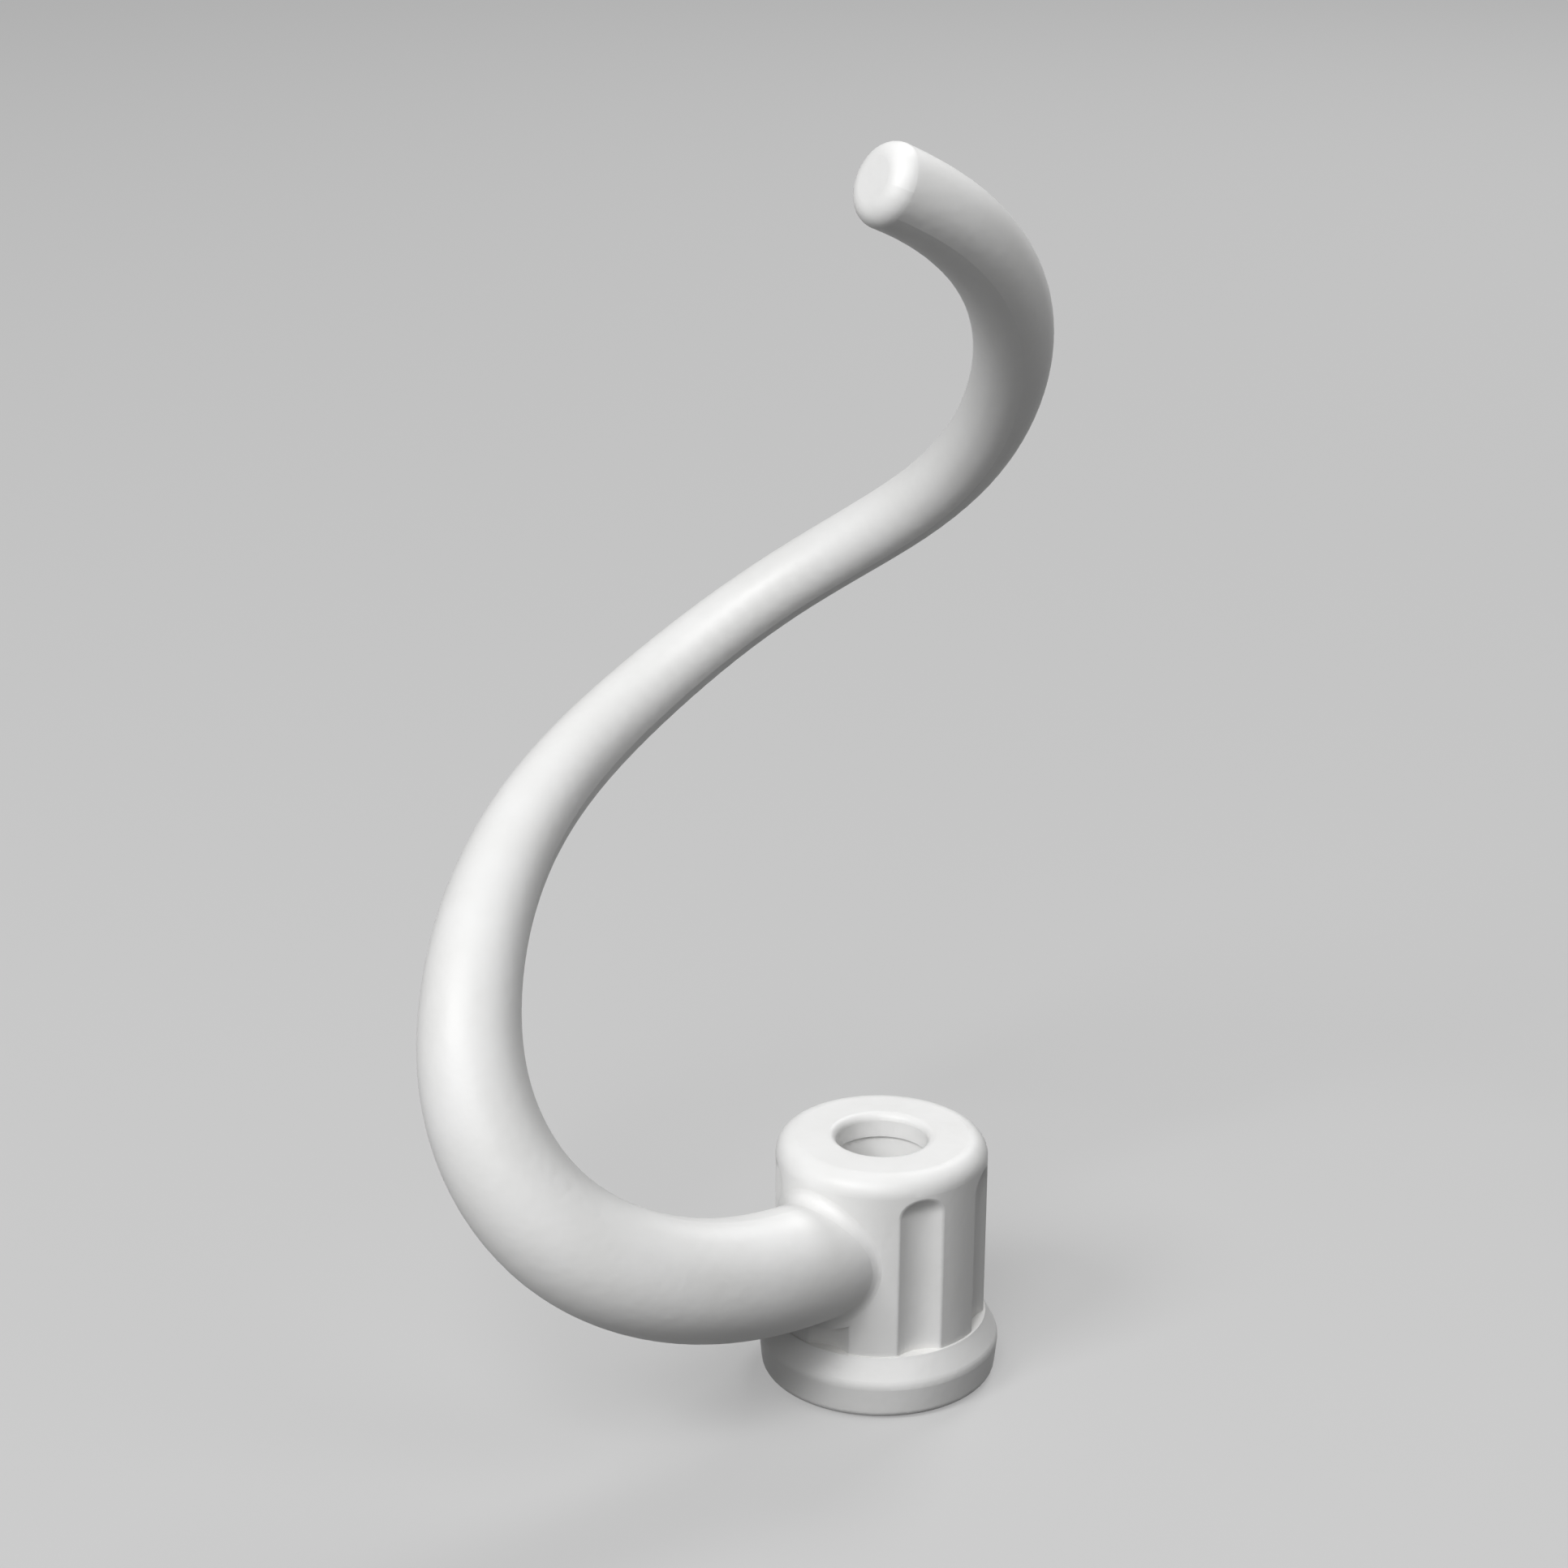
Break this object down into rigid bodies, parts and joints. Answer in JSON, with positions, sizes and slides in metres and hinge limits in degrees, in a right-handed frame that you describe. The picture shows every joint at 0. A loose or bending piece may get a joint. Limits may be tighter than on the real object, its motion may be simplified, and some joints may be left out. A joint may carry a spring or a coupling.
{
  "type": "stand mixer dough hook",
  "caption": "One-piece spiral dough hook for a stand mixer: a fluted, flanged socket hub with a bayonet bore and a tapering round arm that bows out, up and round to a blunt tip.",
  "frame": {"origin": "centre of the shaft bore at the collar's seating face", "axes": "+Z along the bore from the seating face towards the hook, which is down when the hook hangs in the mixer; +X to the right and +Y away from the viewer in the picture"},
  "size_m": [0.0775, 0.0678, 0.1679],
  "materials": {
    "coating": "smooth satin white coating"
  },
  "bodies": {
    "root": {"dough_hook": "coating"}
  },
  "joints": []
}
